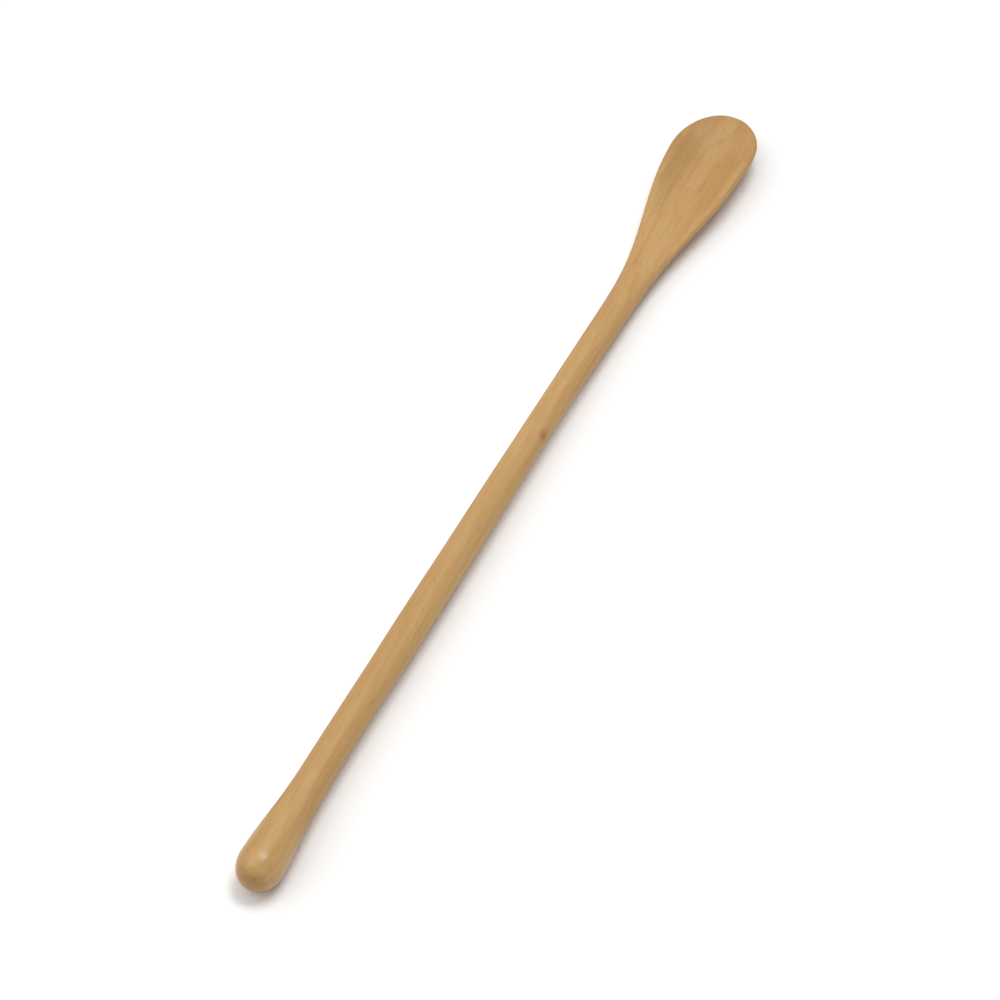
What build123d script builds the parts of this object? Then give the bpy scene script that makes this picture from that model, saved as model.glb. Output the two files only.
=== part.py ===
from build123d import *

import os
from math import cos, pi, sin

# A one-piece wooden muddler: a slim turned handle with a rounded muddling knob at one end
# and a small carved stirring spoon at the other. It lies on a table with the bowl's hollow
# up, +X from the knob to the spoon, +Y across and +Z up. The origin is on the table, under
# the middle of the length. Millimetres. "Station" means the distance from the knob's end.

LENGTH = 220.0

# Handle, turned round and straight, thinnest where the spoon starts
HANDLE_RADIUS = 3.42
NECK_RADIUS = 2.96
TURNED_LENGTH = 110.0
NECK_STATION = 170.0

# Muddling knob: its radius, the length over which it swells out of the handle, its dome
KNOB_RADIUS = 4.75
KNOB_SWELL = 29.5
KNOB_DOME = 6.1
KNOB_ROUNDNESS = 2.25

# Spoon outline: the flare out of the handle, the half width and its growth towards the tip
FLARE_START = 150.5
FLARE_LENGTH = 54.5
FLARE_DELAY = 1.2
BOWL_STATION = 200.0
BOWL_HALF_WIDTH = 8.4
BOWL_WIDENING = 0.0625
TIP_LENGTH = 14.0
TIP_ROUNDNESS = 2.04

# Spoon thickness: above and below its centre line, and the rounding of the tip's edge
CROWN_START = 150.0
CROWN_LENGTH = 40.0
CROWN_HEIGHT = 0.7
BELLY_START = 166.0
BELLY_LENGTH = 36.0
BELLY_DEPTH = 5.7
BELLY_TIP_SHARE = 0.65
BELLY_TAPER = 20.0
TIP_EDGE = 4.0

# Hollow of the bowl, and the share of the width that it takes between the two rims
HOLLOW_DEPTH = 3.1
HOLLOW_START = 181.0
HOLLOW_RUN_IN = 22.0
HOLLOW_RUN_OUT = 14.0
HOLLOW_END = 219.0
HOLLOW_SHARE = 0.92

# Height of the centre line above the table: (station, height). The turned handle is level,
# the neck dips and the bowl rises, so it rests on the knob and on the heel of the bowl.
TURNING_HEIGHT = 4.68
CENTRE_LINE = [
    (0.0, TURNING_HEIGHT), (TURNED_LENGTH, TURNING_HEIGHT), (132.0, 4.6), (155.0, 4.0),
    (172.0, 3.85), (188.0, 4.97), (204.0, 6.2), (LENGTH, 5.3),
]

# The wood is one piece. Its four stretches are separate solids that meet at plain cross-cuts.
KNOB_CUT = 30.0
NECK_CUT = 150.0
BOWL_CUT = 176.0
STRETCHES = {
    "muddling_knob": (0.0, KNOB_CUT),
    "handle": (KNOB_CUT, NECK_CUT),
    "neck": (NECK_CUT, BOWL_CUT),
    "spoon_bowl": (BOWL_CUT, LENGTH),
}

# How finely the curved surfaces are drawn
SECTION_POINTS = 32
DOME_POINTS = 8
HANDLE_POINTS = 32
SPOON_SECTIONS = 30
JOIN_TOLERANCE = 0.001


def ease(share):
    """Rise smoothly from 0 to 1 as share goes from 0 to 1."""
    share = min(max(share, 0.0), 1.0)
    return share**3 * (10.0 - 15.0 * share + 6.0 * share**2)


def rounded(distance, length, roundness):
    """Share of the full section at a distance from an end that is rounded over length."""
    if distance >= length:
        return 1.0
    return (1.0 - (1.0 - distance / length) ** roundness) ** (1.0 / roundness)


def curve_through(points, station):
    """Height at a station on a smooth curve through the points."""
    last = len(points) - 1
    slopes = [0.0]
    for before, after in zip(points, points[2:]):
        slopes.append((after[1] - before[1]) / (after[0] - before[0]))
    slopes[1] = 0.0
    slopes.append(0.0)
    i = max(k for k in range(last) if points[k][0] <= station)
    (start, low), (end, high) = points[i], points[i + 1]
    span = end - start
    t = (station - start) / span
    rise = (high - low) * t * t * (3.0 - 2.0 * t)
    return low + rise + span * t * (1.0 - t) * (slopes[i] * (1.0 - t) - slopes[i + 1] * t)


def turned_radius(station):
    """Radius of the turned handle and its knob, the knob's end rounded."""
    radius = HANDLE_RADIUS + (NECK_RADIUS - HANDLE_RADIUS) * station / NECK_STATION
    radius += (KNOB_RADIUS - radius) * (1.0 - ease(station / KNOB_SWELL))
    return radius * rounded(station, KNOB_DOME, KNOB_ROUNDNESS)


def spoon_section(station):
    """Cross-section at a station: round at the handle, a shallow dish in the bowl."""
    to_tip = LENGTH - station
    radius = turned_radius(station)
    flare = min(max((station - FLARE_START) / FLARE_LENGTH, 0.0), 1.0)
    bowl = BOWL_HALF_WIDTH + BOWL_WIDENING * (station - BOWL_STATION)
    half = radius + (bowl - radius) * ease(flare**FLARE_DELAY)
    half *= rounded(to_tip, TIP_LENGTH, TIP_ROUNDNESS)

    edge = rounded(to_tip, TIP_EDGE, 2.0)
    crown_share = ease((station - CROWN_START) / CROWN_LENGTH)
    crown = radius + (CROWN_HEIGHT * edge - radius) * crown_share
    belly_end = 1.0 - (1.0 - BELLY_TIP_SHARE) * ease((station - BOWL_STATION) / BELLY_TAPER)
    belly_share = ease((station - BELLY_START) / BELLY_LENGTH)
    belly = radius + (BELLY_DEPTH * belly_end * edge - radius) * belly_share
    run_in = ease((station - HOLLOW_START) / HOLLOW_RUN_IN)
    run_out = ease((HOLLOW_END - station) / HOLLOW_RUN_OUT)
    hollow = HOLLOW_DEPTH * run_in * run_out

    centre = curve_through(CENTRE_LINE, station)
    points = []
    for k in range(SECTION_POINTS):
        turn = 2.0 * pi * k / SECTION_POINTS - pi / 2.0
        across, up = cos(turn), sin(turn)
        height = up * ((crown + belly) / 2.0 + up * (crown - belly) / 2.0)
        if up > 0.0:
            height -= hollow * max(0.0, 1.0 - (across / HOLLOW_SHARE) ** 2) ** 2
        points.append((station - LENGTH / 2.0, half * across, centre + height))
    return Wire([Edge.make_spline(points, periodic=True)])


def turned_handle():
    """Knob and handle, turned about one straight axis."""
    turns = [pi / 2.0 * k / DOME_POINTS for k in range(DOME_POINTS)]
    stations = [KNOB_DOME * (1.0 - cos(turn)) for turn in turns]
    for k in range(HANDLE_POINTS + 1):
        share = (k / HANDLE_POINTS) ** 1.5
        stations.append(KNOB_DOME + (TURNED_LENGTH - KNOB_DOME) * share)
    outline = Spline(*[(station, turned_radius(station)) for station in stations])
    axis_end = (TURNED_LENGTH, 0.0)
    face = make_face([outline, Line(outline @ 1, axis_end), Line(axis_end, (0.0, 0.0))])
    return Pos(-LENGTH / 2.0, 0.0, TURNING_HEIGHT) * revolve(face, Axis.X)


def carved_spoon():
    """Neck and bowl, lofted through sections that close up towards the tip."""
    turns = [pi / 2.0 * k / SPOON_SECTIONS for k in range(SPOON_SECTIONS)]
    spoon_length = LENGTH - TURNED_LENGTH
    sections = [spoon_section(TURNED_LENGTH + spoon_length * sin(turn)) for turn in turns]
    return Solid.make_loft(sections)


def muddler():
    """The whole muddler is one piece of wood, so the spoon grows out of the handle."""
    return turned_handle().fuse(carved_spoon(), tol=JOIN_TOLERANCE)


def stretch(wood, start, end):
    """The wood between two stations, cut square to its length."""
    middle = (start + end) / 2.0 - LENGTH / 2.0
    return wood & (Pos(middle, 0.0, 0.0) * Box(end - start, LENGTH, LENGTH))


os.makedirs("parts", exist_ok=True)
wood = muddler()
for name, (start, end) in STRETCHES.items():
    export_step(stretch(wood, start, end), f"parts/{name}.step")
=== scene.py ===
from math import cos, pi, radians, sin

import bpy
import numpy as np
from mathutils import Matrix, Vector, noise


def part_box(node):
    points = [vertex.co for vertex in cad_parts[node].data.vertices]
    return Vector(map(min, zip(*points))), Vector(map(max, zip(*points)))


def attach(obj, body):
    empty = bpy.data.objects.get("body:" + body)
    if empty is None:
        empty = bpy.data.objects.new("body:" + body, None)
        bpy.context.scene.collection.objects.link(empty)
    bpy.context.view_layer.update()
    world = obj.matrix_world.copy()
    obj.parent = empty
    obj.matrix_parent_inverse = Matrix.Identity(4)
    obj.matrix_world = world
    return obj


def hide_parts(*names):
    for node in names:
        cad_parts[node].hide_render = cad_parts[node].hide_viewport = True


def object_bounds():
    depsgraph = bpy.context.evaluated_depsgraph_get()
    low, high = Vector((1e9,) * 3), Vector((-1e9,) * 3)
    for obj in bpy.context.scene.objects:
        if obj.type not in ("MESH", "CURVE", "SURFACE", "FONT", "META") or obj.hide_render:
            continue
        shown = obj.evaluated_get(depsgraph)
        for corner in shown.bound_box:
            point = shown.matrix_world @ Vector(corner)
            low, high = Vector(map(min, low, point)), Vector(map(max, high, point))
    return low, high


# The looks of a one-piece wooden muddler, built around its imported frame: one continuous piece
# of wood, a pale floor, soft studio light and the camera. Lengths are in metres. "Station" means
# the distance from the knob's end, along +X to the tip of the spoon.

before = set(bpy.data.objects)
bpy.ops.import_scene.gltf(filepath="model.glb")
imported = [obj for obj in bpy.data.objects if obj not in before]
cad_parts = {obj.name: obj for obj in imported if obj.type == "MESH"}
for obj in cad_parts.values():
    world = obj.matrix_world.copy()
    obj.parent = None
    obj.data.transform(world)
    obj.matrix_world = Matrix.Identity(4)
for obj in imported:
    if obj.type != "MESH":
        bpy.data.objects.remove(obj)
cad_low, cad_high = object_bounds()
knob_low, knob_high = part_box("muddling_knob")

# ---------------------------------------------------------------- camera

VIEW_ELEVATION = radians(50.0)
VIEW_TURN = radians(26.04)
VIEW_DISTANCE = 0.9
VIEW_LENS = 163.4
AIM = Vector((-0.0037, 0.0, 0.0012))


def add_camera():
    """A long lens that looks down along the handle, the knob near and the spoon far."""
    level = Vector((cos(VIEW_TURN), sin(VIEW_TURN), 0.0))
    sight = level * cos(VIEW_ELEVATION) - Vector((0.0, 0.0, sin(VIEW_ELEVATION)))
    data = bpy.data.cameras.new("camera")
    data.lens = VIEW_LENS
    camera = bpy.data.objects.new("camera", data)
    camera.location = AIM - sight * VIEW_DISTANCE
    camera.rotation_euler = sight.to_track_quat("-Z", "Y").to_euler()
    bpy.context.scene.collection.objects.link(camera)
    bpy.context.scene.camera = camera


add_camera()

# ---------------------------------------------------------------- the wood's shape

LENGTH = cad_high.x - cad_low.x
KNOB_RADIUS = (knob_high.y - knob_low.y) / 2.0
TURNING_HEIGHT = (knob_high.z + knob_low.z) / 2.0

# The turned handle, which tapers evenly from the knob to the neck
HANDLE_RADIUS = 0.00342
NECK_RADIUS = 0.00296
NECK_STATION = 0.170

# The knob: the length over which it swells from the handle, and its domed end
KNOB_SWELL = 0.0295
KNOB_DOME = 0.0061
KNOB_ROUNDNESS = 2.25

# The spoon's outline from above: it flares from the handle, keeps widening evenly by
# BOWL_WIDENING per metre past BOWL_STATION, and is rounded at the tip
FLARE_START = 0.1505
FLARE_LENGTH = 0.0545
FLARE_DELAY = 1.2
BOWL_STATION = 0.200
BOWL_HALF_WIDTH = 0.0084
BOWL_WIDENING = 0.0625
TIP_LENGTH = 0.014
TIP_ROUNDNESS = 2.04

# The spoon's side view: the crown is the wood above the centre line and the belly is below it
CROWN_START = 0.150
CROWN_LENGTH = 0.040
CROWN_HEIGHT = 0.0007
BELLY_START = 0.166
BELLY_LENGTH = 0.036
BELLY_DEPTH = 0.0057
BELLY_TIP_SHARE = 0.65
BELLY_TAPER = 0.020
TIP_EDGE_ABOVE = 0.0006
TIP_EDGE_BELOW = 0.004

# The hollow: its depth, where it runs in and out, its share of the width, and its fullness,
# where 2 is a soft dip and less is a flatter floor
HOLLOW_DEPTH = 0.0031
HOLLOW_START = 0.181
HOLLOW_RUN_IN = 0.022
HOLLOW_RUN_OUT = 0.014
HOLLOW_END = 0.219
HOLLOW_SHARE = 0.92
HOLLOW_FULLNESS = 1.5

# Height of the centre line: (station, height)
CENTRE_LINE = [
    (0.0, TURNING_HEIGHT), (0.105, TURNING_HEIGHT), (0.132, 0.0046), (0.155, 0.0040),
    (0.172, 0.00385), (0.188, 0.00497), (0.204, 0.0062), (LENGTH, 0.0053),
]

# Handwork. A stick that is turned and sanded by hand strays a little sideways and is a little
# thicker here and thinner there: (station, sideways) and (station, share of the thickness).
SIDE_LINE = [
    (0.0, -0.00028), (0.012, -0.00010), (0.040, 0.00018), (0.062, 0.00002), (0.125, 0.00007),
    (0.172, -0.00008), (0.204, 0.0), (LENGTH, 0.0),
]
THICKNESS = [
    (0.0, 1.0), (0.022, 1.0), (0.044, 0.962), (0.068, 1.015), (0.092, 0.998), (0.130, 0.945),
    (0.162, 1.003), (0.176, 0.98), (0.200, 1.0), (LENGTH, 1.0),
]

# The bowl's edge towards -Y was rounded by eye as well: (station, share of the half width)
NEAR_EDGE = [(0.0, 1.0), (0.195, 1.0), (0.208, 0.985), (0.2155, 1.015), (LENGTH, 1.02)]

# Relief the sandpaper left: long low waves, and bands of grain that stand a little proud.
# Each size is how far one wave or band reaches along, across and up.
WAVE_SIZE = (0.019, 0.0055, 0.0055)
WAVE_HEIGHT = 0.000045
BAND_SIZE = (0.016, 0.0012, 0.0012)
BAND_HEIGHT = 0.000010

# A pin knot in the side of the handle, with a shallow dimple over it
KNOT_STATION = 0.1213
KNOT_FACING = Vector((0.0, -0.84, 0.545))
KNOT_RADIUS = 0.00055
DIMPLE_RADIUS = 2.0 * KNOT_RADIUS
DIMPLE_DEPTH = 0.00007

# The grid of faces: the points round each ring, the spacing of the rings along each stretch,
# and the rings that crowd together over the knob's dome and over the last stretch of the tip
RING_POINTS = 128
KNOB_SPACING = 0.00045
HANDLE_SPACING = 0.0005
SPOON_SPACING = 0.00026
DOME_RINGS = 26
TIP_RINGS = 34
TIP_STRETCH = 0.0061


def ease(share):
    """Rise smoothly from 0 to 1 as share goes from 0 to 1."""
    share = min(max(share, 0.0), 1.0)
    return share**3 * (10.0 - 15.0 * share + 6.0 * share**2)


def rounded(distance, length, roundness):
    """Share of the full section at a distance from an end that is rounded over length."""
    if distance >= length:
        return 1.0
    return (1.0 - (1.0 - distance / length) ** roundness) ** (1.0 / roundness)


def curve_through(points, station):
    """Height at a station on a smooth curve through the points."""
    last = len(points) - 1
    slopes = [0.0]
    for before, after in zip(points, points[2:]):
        slopes.append((after[1] - before[1]) / (after[0] - before[0]))
    slopes.append(0.0)
    i = max(k for k in range(last) if points[k][0] <= station)
    (start, low), (end, high) = points[i], points[i + 1]
    span = end - start
    t = (station - start) / span
    rise = (high - low) * t * t * (3.0 - 2.0 * t)
    return low + rise + span * t * (1.0 - t) * (slopes[i] * (1.0 - t) - slopes[i + 1] * t)


def turned_radius(station):
    """Radius of the turned handle and its knob, the knob's end rounded."""
    radius = HANDLE_RADIUS + (NECK_RADIUS - HANDLE_RADIUS) * station / NECK_STATION
    radius += (KNOB_RADIUS - radius) * (1.0 - ease(station / KNOB_SWELL))
    return radius * rounded(station, KNOB_DOME, KNOB_ROUNDNESS)


def ring(station):
    """Points round the wood at a station: round at the handle, a shallow dish in the bowl."""
    to_tip = LENGTH - station
    radius = turned_radius(station)
    flare = min(max((station - FLARE_START) / FLARE_LENGTH, 0.0), 1.0)
    bowl = BOWL_HALF_WIDTH + BOWL_WIDENING * (station - BOWL_STATION)
    half = radius + (bowl - radius) * ease(flare**FLARE_DELAY)
    half *= rounded(to_tip, TIP_LENGTH, TIP_ROUNDNESS)

    crown_edge = rounded(to_tip, TIP_EDGE_ABOVE, 2.0)
    crown_share = ease((station - CROWN_START) / CROWN_LENGTH)
    crown = radius + (CROWN_HEIGHT * crown_edge - radius) * crown_share
    belly_end = 1.0 - (1.0 - BELLY_TIP_SHARE) * ease((station - BOWL_STATION) / BELLY_TAPER)
    belly_share = ease((station - BELLY_START) / BELLY_LENGTH)
    belly_edge = rounded(to_tip, TIP_EDGE_BELOW, 2.0)
    belly = radius + (BELLY_DEPTH * belly_end * belly_edge - radius) * belly_share
    run_in = ease((station - HOLLOW_START) / HOLLOW_RUN_IN)
    run_out = ease((HOLLOW_END - station) / HOLLOW_RUN_OUT)
    hollow = HOLLOW_DEPTH * run_in * run_out

    turn = np.arange(RING_POINTS) * 2.0 * pi / RING_POINTS - pi / 2.0
    across, up = np.cos(turn), np.sin(turn)
    height = up * ((crown + belly) / 2.0 + up * (crown - belly) / 2.0)
    dish = np.clip(1.0 - (across / HOLLOW_SHARE) ** 2, 0.0, None) ** HOLLOW_FULLNESS
    height -= np.where(up > 0.0, hollow * dish, 0.0)
    centre = curve_through(CENTRE_LINE, station)
    side = curve_through(SIDE_LINE, station)
    share = curve_through(THICKNESS, station)
    reach = half * share * np.where(across < 0.0, curve_through(NEAR_EDGE, station), 1.0)
    x = np.full(RING_POINTS, cad_low.x + station)
    return np.column_stack([x, side + reach * across, centre + height * share])


def ring_stations():
    """Stations of the rings: close together at both rounded ends and over the spoon."""
    knob_end = knob_high.x - cad_low.x
    handle_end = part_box("handle")[1].x - cad_low.x
    tip_start = LENGTH - TIP_STRETCH
    dome_turns = np.arange(1, DOME_RINGS) / DOME_RINGS * pi / 2.0
    tip_turns = np.arange(TIP_RINGS) / TIP_RINGS * pi / 2.0
    return np.concatenate([
        KNOB_DOME * (1.0 - np.cos(dome_turns)),
        np.arange(KNOB_DOME, knob_end, KNOB_SPACING),
        np.arange(knob_end, handle_end, HANDLE_SPACING),
        np.arange(handle_end, tip_start, SPOON_SPACING),
        tip_start + TIP_STRETCH * np.sin(tip_turns),
    ])


def knot_place():
    """Where the middle of the pin knot comes out of the wood."""
    side = curve_through(SIDE_LINE, KNOT_STATION)
    height = curve_through(CENTRE_LINE, KNOT_STATION)
    radius = turned_radius(KNOT_STATION) * curve_through(THICKNESS, KNOT_STATION)
    return Vector((cad_low.x + KNOT_STATION, side, height)) + KNOT_FACING * radius


def uneven(place, size):
    """Smooth noise between about -1 and 1."""
    return noise.noise(Vector((place.x / size[0], place.y / size[1], place.z / size[2])))


def add_relief(mesh):
    """Move each point of the skin a few hundredths of a millimetre in or out."""
    knot = knot_place()
    normals = [vertex.normal.copy() for vertex in mesh.vertices]
    for vertex, normal in zip(mesh.vertices, normals):
        lift = WAVE_HEIGHT * uneven(vertex.co, WAVE_SIZE)
        lift += BAND_HEIGHT * uneven(vertex.co, BAND_SIZE)
        reach = (vertex.co - knot).length / DIMPLE_RADIUS
        lift -= DIMPLE_DEPTH * ease(1.0 - reach)
        vertex.co += normal * lift


def wood_mesh():
    """A closed skin of quads from the knob's end to the spoon's tip, with a fan at each end."""
    rings = [ring(station) for station in ring_stations()]
    knob_pole = (cad_low.x, curve_through(SIDE_LINE, 0.0), TURNING_HEIGHT)
    tip_pole = (cad_low.x + LENGTH, 0.0, curve_through(CENTRE_LINE, LENGTH))
    points = np.concatenate([*rings, [knob_pole, tip_pole]])
    knob, tip = len(points) - 2, len(points) - 1
    last = (len(rings) - 1) * RING_POINTS
    faces = []
    for k in range(RING_POINTS):
        n = (k + 1) % RING_POINTS
        faces.append((knob, n, k))
        faces.append((tip, last + k, last + n))
        for row in range(0, last, RING_POINTS):
            faces.append((row + k, row + n, row + RING_POINTS + n, row + RING_POINTS + k))
    mesh = bpy.data.meshes.new("muddler_wood")
    mesh.from_pydata(points.tolist(), [], faces)
    add_relief(mesh)
    mesh.shade_smooth()
    return mesh


mesh = wood_mesh()
wood = bpy.data.objects.new("muddler_wood", mesh)
bpy.context.scene.collection.objects.link(wood)
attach(wood, "root")
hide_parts("muddling_knob", "handle", "neck", "spoon_bowl")

# ---------------------------------------------------------------- floor and light

FLOOR_SIZE = 12.0
FLOOR_GAP = 0.00005
FLOOR_COLOUR = (0.93, 0.93, 0.93, 1.0)
FLOOR_ROUGHNESS = 0.7
FILL_STRENGTH = 0.395

# Name, place, width and height, and power in watts
SOFTBOXES = [
    ("overhead_softbox", (-0.32, 0.55, 1.04), (1.9, 1.9), 10.5),
    ("small_softbox", (0.27, -0.13, 1.10), (0.60, 0.34), 6.1),
]


def add_floor():
    """A plain pale table top, a hair below the lowest point of the wood."""
    mesh = bpy.data.meshes.new("floor")
    half = FLOOR_SIZE / 2.0
    corners = [(-half, -half, 0.0), (half, -half, 0.0), (half, half, 0.0), (-half, half, 0.0)]
    mesh.from_pydata(corners, [], [(0, 1, 2, 3)])
    floor = bpy.data.objects.new("floor", mesh)
    floor.location.z = cad_low.z - FLOOR_GAP
    bpy.context.scene.collection.objects.link(floor)
    material = bpy.data.materials.new("floor")
    material.use_nodes = True
    shader = material.node_tree.nodes["Principled BSDF"]
    shader.inputs["Base Color"].default_value = FLOOR_COLOUR
    shader.inputs["Roughness"].default_value = FLOOR_ROUGHNESS
    mesh.materials.append(material)


def add_softbox(name, place, size, power):
    """A rectangular light that faces the middle of the muddler."""
    data = bpy.data.lights.new(name, "AREA")
    data.shape = "RECTANGLE"
    data.size, data.size_y = size
    data.energy = power
    light = bpy.data.objects.new(name, data)
    light.location = place
    light.rotation_euler = (-Vector(place)).to_track_quat("-Z", "Y").to_euler()
    bpy.context.scene.collection.objects.link(light)


def add_fill():
    """Even white light from all round."""
    world = bpy.data.worlds.new("studio")
    world.use_nodes = True
    background = world.node_tree.nodes["Background"]
    background.inputs["Color"].default_value = (1.0, 1.0, 1.0, 1.0)
    background.inputs["Strength"].default_value = FILL_STRENGTH
    bpy.context.scene.world = world


add_floor()
for softbox in SOFTBOXES:
    add_softbox(*softbox)
add_fill()
bpy.context.scene.view_settings.view_transform = "Standard"

# ---------------------------------------------------------------- material

# The lie of the grain: nearly along X, with the growth rings centred on the tree's pith
GRAIN_TURN = (0.0, radians(1.1), radians(-1.6))
PITH_PLACE = (0.0, 0.016, 0.041)
RING_SPACING = 0.0016
WANDER = 0.0009
WANDER_SCALE = (22.0, 55.0, 55.0)

# How far from the pin knot the grain parts, and by what share of the distance
PARTING_REACH = 0.0035
PARTING = -0.7

# How long and how wide each kind of mark is
TONE_PATCH = (0.055, 0.006)
STREAK_SIZE = (0.030, 0.0007)
FIBRE_SIZE = (0.007, 0.00014)
PORE_SIZE = (0.0016, 0.00014)
FLECK_SIZE = (0.0028, 0.00034)

# The noise values between which each kind of mark fades in
STREAK_FADE = (0.45, 0.75)
FIBRE_FADE = (0.45, 0.75)
PORE_FADE = (0.64, 0.74)
FLECK_FADE = (0.68, 0.78)

# The wood's own colours, from pale to ruddy
PALE = (0.545, 0.335, 0.128, 1.0)
TAN = (0.508, 0.300, 0.109, 1.0)
RUDDY = (0.478, 0.270, 0.095, 1.0)

# Dyes that multiply those colours
# The first dye browns the spoon's end: partly heartwood tone, partly painted shade there
HEARTWOOD_AND_TIP_SHADE = (0.88, 0.84, 0.81)
LATE_WOOD = (0.96, 0.93, 0.89)
STREAK = (0.93, 0.89, 0.83)
FIBRE = (0.93, 0.90, 0.86)
PORE = (0.84, 0.77, 0.68)
END_GRAIN = (0.78, 0.70, 0.59)
KNOT_RIM = (0.91, 0.80, 0.70)
KNOT_EYE = (0.82, 0.69, 0.59)

# Stations between which the browner heartwood tone, partly painted shade over the spoon's far
# end, fades in
HEART_AND_SHADE_FADE = (0.185, LENGTH)

# How far a face turns towards +X or -X as the end grain fades in
END_GRAIN_FADE = (0.45, 1.0)

# Distances from the middle of the pin knot over which its rim and its eye fade out
RIM_FADE = (0.6 * KNOT_RADIUS, 4.5 * KNOT_RADIUS)
EYE_FADE = (0.2 * KNOT_RADIUS, 1.6 * KNOT_RADIUS)

# The satin finish: the knob's roughness, how much duller the handle and the spoon are than the
# stretch before them, and the stations between which that comes on
KNOB_ROUGHNESS = (0.28, 0.34)
HANDLE_DULLER = 0.28
HANDLE_DULLING = (0.006, 0.020)
SPOON_DULLER = 0.02
SPOON_DULLING = (0.170, 0.195)
SPECULAR_LEVEL = 0.5
GRAIN_BUMP = 0.00003
GRAIN_BUMP_STRENGTH = 0.35


def add_node(tree, kind, inputs, **settings):
    """A shader node. Each input is a number, a colour or the output of another node."""
    made = tree.nodes.new(kind)
    for name, value in settings.items():
        setattr(made, name, value)
    for name, value in inputs.items():
        if isinstance(value, bpy.types.NodeSocket):
            tree.links.new(value, made.inputs[name])
        else:
            made.inputs[name].default_value = value
    return made


def stretched_noise(tree, coordinates, size, detail):
    """Noise with patches about as long and as wide as size says, drawn out along the grain."""
    along, across = size
    scale = (1.0 / along, 1.0 / across, 1.0 / across)
    mapping = add_node(tree, "ShaderNodeMapping", {"Vector": coordinates, "Scale": scale})
    inputs = {"Vector": mapping.outputs["Vector"], "Scale": 1.0, "Detail": detail}
    return add_node(tree, "ShaderNodeTexNoise", inputs).outputs["Fac"]


def between(tree, value, start, end, low=0.0, high=1.0):
    """A value from low to high as the input goes from start to end, smoothly."""
    inputs = {"Value": value, "From Min": start, "From Max": end, "To Min": low, "To Max": high}
    ranged = add_node(tree, "ShaderNodeMapRange", inputs, interpolation_type="SMOOTHSTEP")
    return ranged.outputs["Result"]


def calculate(tree, operation, first, second=0.0):
    """One arithmetic step on one or two values."""
    made = tree.nodes.new("ShaderNodeMath")
    made.operation = operation
    for socket, value in zip(made.inputs, (first, second)):
        if isinstance(value, bpy.types.NodeSocket):
            tree.links.new(value, socket)
        else:
            socket.default_value = value
    return made.outputs[0]


def stain(tree, colour, share, dye):
    """The colour multiplied by a dye where share is 1, and left alone where it is 0."""
    made = tree.nodes.new("ShaderNodeMix")
    made.data_type = "RGBA"
    made.blend_type = "MULTIPLY"
    factor, under, over = (s for s in made.inputs if s.enabled)
    tree.links.new(share, factor)
    tree.links.new(colour, under)
    over.default_value = (*dye, 1.0)
    return next(s for s in made.outputs if s.enabled)


def grain_place(tree, place, knot_vector, knot_reach):
    """Coordinates that run nearly along the handle, wander a little and part round the knot."""
    pith = add_node(tree, "ShaderNodeMapping", {
        "Vector": place, "Location": PITH_PLACE, "Rotation": GRAIN_TURN})
    slow = add_node(tree, "ShaderNodeMapping", {"Vector": place, "Scale": WANDER_SCALE})
    drift = add_node(tree, "ShaderNodeTexNoise", {
        "Vector": slow.outputs["Vector"], "Scale": 1.0, "Detail": 1.0})
    centred = add_node(tree, "ShaderNodeVectorMath", {
        0: drift.outputs["Color"], 1: (0.5, 0.5, 0.5)}, operation="SUBTRACT")
    shift = add_node(tree, "ShaderNodeVectorMath", {
        0: centred.outputs["Vector"], "Scale": 2.0 * WANDER}, operation="SCALE")
    wandering = add_node(tree, "ShaderNodeVectorMath", {
        0: pith.outputs["Vector"], 1: shift.outputs["Vector"]}, operation="ADD")
    pull = between(tree, knot_reach, 0.0, PARTING_REACH, PARTING, 0.0)
    parting = add_node(tree, "ShaderNodeVectorMath", {
        0: knot_vector, "Scale": pull}, operation="SCALE")
    grain = add_node(tree, "ShaderNodeVectorMath", {
        0: wandering.outputs["Vector"], 1: parting.outputs["Vector"]}, operation="ADD")
    return grain.outputs["Vector"]


def clear_wood(tree, grain, along):
    """Broad paler and ruddier stretches, browner towards the spoon's end: partly the heartwood's
    tone, partly painted shade on the spoon's far end.
    """
    ramp = add_node(tree, "ShaderNodeValToRGB", {
        "Fac": stretched_noise(tree, grain, TONE_PATCH, 3.0)})
    ramp.color_ramp.elements[0].position = 0.30
    ramp.color_ramp.elements[0].color = PALE
    ramp.color_ramp.elements[1].position = 0.70
    ramp.color_ramp.elements[1].color = RUDDY
    ramp.color_ramp.elements.new(0.5).color = TAN
    # Browner towards the tip: partly heartwood tone, partly painted shade on the spoon's far end
    heart_and_shade = between(tree, along, *HEART_AND_SHADE_FADE)
    return stain(tree, ramp.outputs["Color"], heart_and_shade, HEARTWOOD_AND_TIP_SHADE)


def growth_rings(tree, grain):
    """0 in the pale early wood, rising to 1 in the thin line of late wood."""
    # At a scale of 1 the wave texture repeats every pi / 10
    scale = pi / 10.0 / RING_SPACING
    rings = add_node(tree, "ShaderNodeTexWave", {
        "Vector": grain, "Scale": scale, "Distortion": 1.4, "Detail": 2.0,
        "Detail Scale": 0.35}, wave_type="RINGS", rings_direction="X", wave_profile="SAW")
    return between(tree, rings.outputs["Fac"], 0.35, 1.0)


def dark_dashes(tree, grain):
    """1 in the pores and the ray flecks, which are short dashes along the grain."""
    pores = between(tree, stretched_noise(tree, grain, PORE_SIZE, 1.0), *PORE_FADE)
    flecks = between(tree, stretched_noise(tree, grain, FLECK_SIZE, 1.0), *FLECK_FADE)
    return calculate(tree, "MAXIMUM", pores, flecks)


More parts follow.
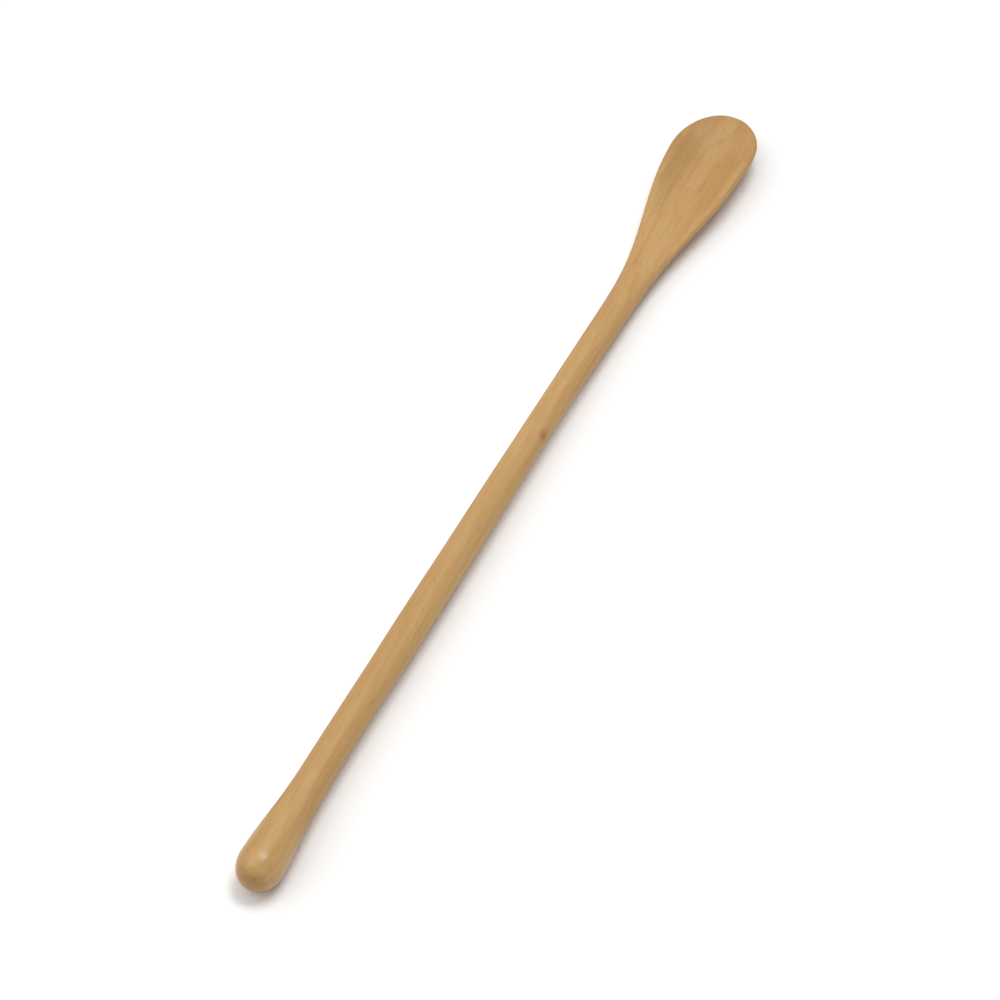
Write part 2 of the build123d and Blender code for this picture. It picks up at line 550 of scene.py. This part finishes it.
def wood_material():
    """Pale, close-grained hardwood under a satin oil finish."""
    material = bpy.data.materials.new("oiled_wood")
    material.use_nodes = True
    tree = material.node_tree
    place = tree.nodes.new("ShaderNodeTexCoord").outputs
    x = add_node(tree, "ShaderNodeSeparateXYZ", {"Vector": place["Object"]}).outputs["X"]
    along = calculate(tree, "SUBTRACT", x, cad_low.x)
    from_knot = add_node(tree, "ShaderNodeVectorMath", {
        0: place["Object"], 1: knot_place()}, operation="SUBTRACT").outputs["Vector"]
    reach = add_node(tree, "ShaderNodeVectorMath", {
        0: from_knot}, operation="LENGTH").outputs["Value"]
    grain = grain_place(tree, place["Object"], from_knot, reach)

    colour = clear_wood(tree, grain, along)
    colour = stain(tree, colour, growth_rings(tree, grain), LATE_WOOD)
    streaks = stretched_noise(tree, grain, STREAK_SIZE, 3.0)
    colour = stain(tree, colour, between(tree, streaks, *STREAK_FADE), STREAK)
    fibres = stretched_noise(tree, grain, FIBRE_SIZE, 2.0)
    colour = stain(tree, colour, between(tree, fibres, *FIBRE_FADE), FIBRE)
    dashes = dark_dashes(tree, grain)
    colour = stain(tree, colour, dashes, PORE)

    # End grain, on the knob's end and the ends of the hollow, drinks more oil and is darker
    facing = add_node(tree, "ShaderNodeSeparateXYZ", {"Vector": place["Normal"]})
    end_on = calculate(tree, "ABSOLUTE", facing.outputs["X"])
    colour = stain(tree, colour, between(tree, end_on, *END_GRAIN_FADE), END_GRAIN)

    # The pin knot is a darker eye in a soft ruddy rim
    rim = between(tree, reach, *RIM_FADE, 1.0, 0.0)
    colour = stain(tree, colour, rim, KNOT_RIM)
    eye = between(tree, reach, *EYE_FADE, 1.0, 0.0)
    colour = stain(tree, colour, eye, KNOT_EYE)

    # Satin: the knob is polished by use, the handle is duller, and the spoon, which was
    # carved by hand, is a little duller still. Fibres stand up and pores sink in
    polish = between(tree, streaks, 0.3, 0.7, *KNOB_ROUGHNESS)
    held = between(tree, along, *HANDLE_DULLING, 0.0, HANDLE_DULLER)
    carved = between(tree, along, *SPOON_DULLING, 0.0, SPOON_DULLER)
    roughness = calculate(tree, "ADD", calculate(tree, "ADD", polish, held), carved)
    height = calculate(tree, "SUBTRACT", fibres, dashes)
    bump = add_node(tree, "ShaderNodeBump", {
        "Height": height, "Strength": GRAIN_BUMP_STRENGTH, "Distance": GRAIN_BUMP})
    shader = tree.nodes["Principled BSDF"]
    shader.inputs["Specular IOR Level"].default_value = SPECULAR_LEVEL
    tree.links.new(colour, shader.inputs["Base Color"])
    tree.links.new(roughness, shader.inputs["Roughness"])
    tree.links.new(bump.outputs["Normal"], shader.inputs["Normal"])
    return material


mesh.materials.append(wood_material())
